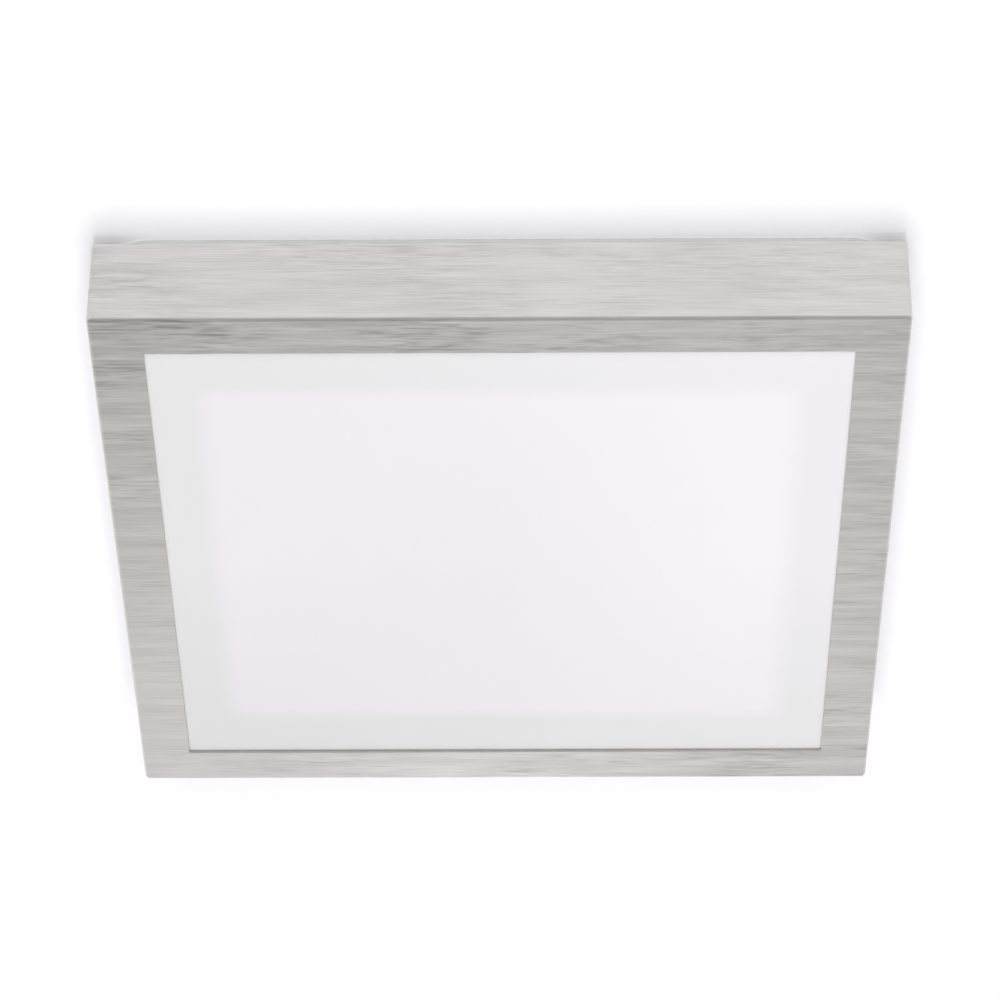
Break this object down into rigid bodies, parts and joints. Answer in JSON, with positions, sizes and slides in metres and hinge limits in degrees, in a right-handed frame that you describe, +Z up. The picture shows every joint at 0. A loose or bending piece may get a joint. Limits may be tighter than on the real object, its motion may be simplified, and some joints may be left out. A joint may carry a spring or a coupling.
{
  "type": "flush mount ceiling light",
  "caption": "Square flush ceiling light: brushed metal frame with opal sheet pulls down off a white pan holding lamp strips, driver and supply terminal.",
  "frame": {"origin": "middle of the pan's back face, where it meets the ceiling, at the centre of the four mounting slots", "axes": "+Z up into the ceiling, +X to the viewer's right, -Y the side wall nearest the viewer; the light hangs below z = 0"},
  "size_m": [0.3, 0.3, 0.04],
  "materials": {
    "brushed_nickel": "fine brushed, satin",
    "opal_sheet": "opal acrylic, satin",
    "foam": "closed-cell foam",
    "zinc_plate": "bright zinc plate",
    "white_powder_coat": "white powder coat",
    "grey_rubber": "moulded rubber",
    "white_formed_sheet": "vacuum-formed, matt",
    "white_nylon": "moulded",
    "white_moulding": "moulded, fine spark texture",
    "green_board": "solder mask",
    "yellow_tape": "polyester tape",
    "black_sleeve": "shrink sleeve",
    "dark_ferrite": "sintered",
    "plated_copper": "tin-plated copper",
    "tinned_copper": "tinned",
    "brown_wire": "extruded",
    "blue_wire": "extruded",
    "green_wire": "extruded, green with a yellow stripe",
    "red_wire": "extruded",
    "black_wire": "extruded",
    "white_wire": "extruded",
    "spring_steel": "rolled",
    "white_solder_mask": "solder mask on aluminium",
    "lamp_phosphor": "silicone with phosphor",
    "lens_resin": "moulded acrylic",
    "orange_button": "moulded"
  },
  "bodies": {
    "pan": {"cable_grommet": "grey_rubber", "ceiling_pan": "white_powder_coat", "driver_board": "green_board", "driver_capacitors": "black_sleeve", "driver_case": "white_moulding", "driver_choke": "dark_ferrite", "driver_lid": "white_moulding", "driver_screws": "zinc_plate", "driver_sockets": "white_nylon", "driver_transformer": "yellow_tape", "earth_lug": "tinned_copper", "earth_nut": "zinc_plate", "earth_stud": "zinc_plate", "earth_washer": "zinc_plate", "earth_wire": "green_wire", "lamp_minus_wire": "black_wire", "lamp_plus_wire": "red_wire", "led_chips_1": "lamp_phosphor", "led_chips_2": "lamp_phosphor", "led_chips_3": "lamp_phosphor", "led_chips_4": "lamp_phosphor", "led_lenses_1": "lens_resin", "led_lenses_2": "lens_resin", "led_lenses_3": "lens_resin", "led_lenses_4": "lens_resin", "led_strip_1": "white_solder_mask", "led_strip_2": "white_solder_mask", "led_strip_3": "white_solder_mask", "led_strip_4": "white_solder_mask", "light_box": "white_formed_sheet", "light_box_screws": "zinc_plate", "live_wire": "brown_wire", "neutral_wire": "blue_wire", "spring_clip_1": "spring_steel", "spring_clip_2": "spring_steel", "spring_clip_3": "spring_steel", "spring_clip_4": "spring_steel", "strip_connectors": "white_nylon", "strip_jumpers": "white_wire", "strip_screws": "zinc_plate", "terminal_body": "white_nylon", "terminal_contacts": "plated_copper", "wire_saddles": "white_nylon"},
    "cover": {"front_frame": "brushed_nickel", "diffuser": "opal_sheet", "diffuser_gasket": "foam", "clip_studs": "zinc_plate", "clip_nuts": "zinc_plate"},
    "clip_near": {"turn_clip_near": "zinc_plate"},
    "clip_right": {"turn_clip_right": "zinc_plate"},
    "clip_far": {"turn_clip_far": "zinc_plate"},
    "clip_left": {"turn_clip_left": "zinc_plate"},
    "button_live": {"release_button_live": "orange_button"},
    "button_neutral": {"release_button_neutral": "orange_button"},
    "button_earth": {"release_button_earth": "orange_button"}
  },
  "joints": [
    {"name": "cover_pull", "type": "slide", "parent": "pan", "child": "cover", "axis": [0, 0, -1], "range_m": [0, 0.05]},
    {"name": "clip_turn_near", "type": "hinge", "parent": "cover", "child": "clip_near", "pos_m": [0, -0.1415, -0.0357], "axis": [0, 0, 1], "range_deg": [-110, 110]},
    {"name": "clip_turn_right", "type": "hinge", "parent": "cover", "child": "clip_right", "pos_m": [0.1415, 0, -0.0357], "axis": [0, 0, 1], "range_deg": [-110, 110]},
    {"name": "clip_turn_far", "type": "hinge", "parent": "cover", "child": "clip_far", "pos_m": [0, 0.1415, -0.0357], "axis": [0, 0, 1], "range_deg": [-110, 110]},
    {"name": "clip_turn_left", "type": "hinge", "parent": "cover", "child": "clip_left", "pos_m": [-0.1415, 0, -0.0357], "axis": [0, 0, 1], "range_deg": [-110, 110]},
    {"name": "button_press_live", "type": "slide", "parent": "pan", "child": "button_live", "axis": [0, 0, 1], "range_m": [0, 0.0015], "stiffness_N_per_m": 600},
    {"name": "button_press_neutral", "type": "slide", "parent": "pan", "child": "button_neutral", "axis": [0, 0, 1], "range_m": [0, 0.0015], "stiffness_N_per_m": 600},
    {"name": "button_press_earth", "type": "slide", "parent": "pan", "child": "button_earth", "axis": [0, 0, 1], "range_m": [0, 0.0015], "stiffness_N_per_m": 600}
  ]
}
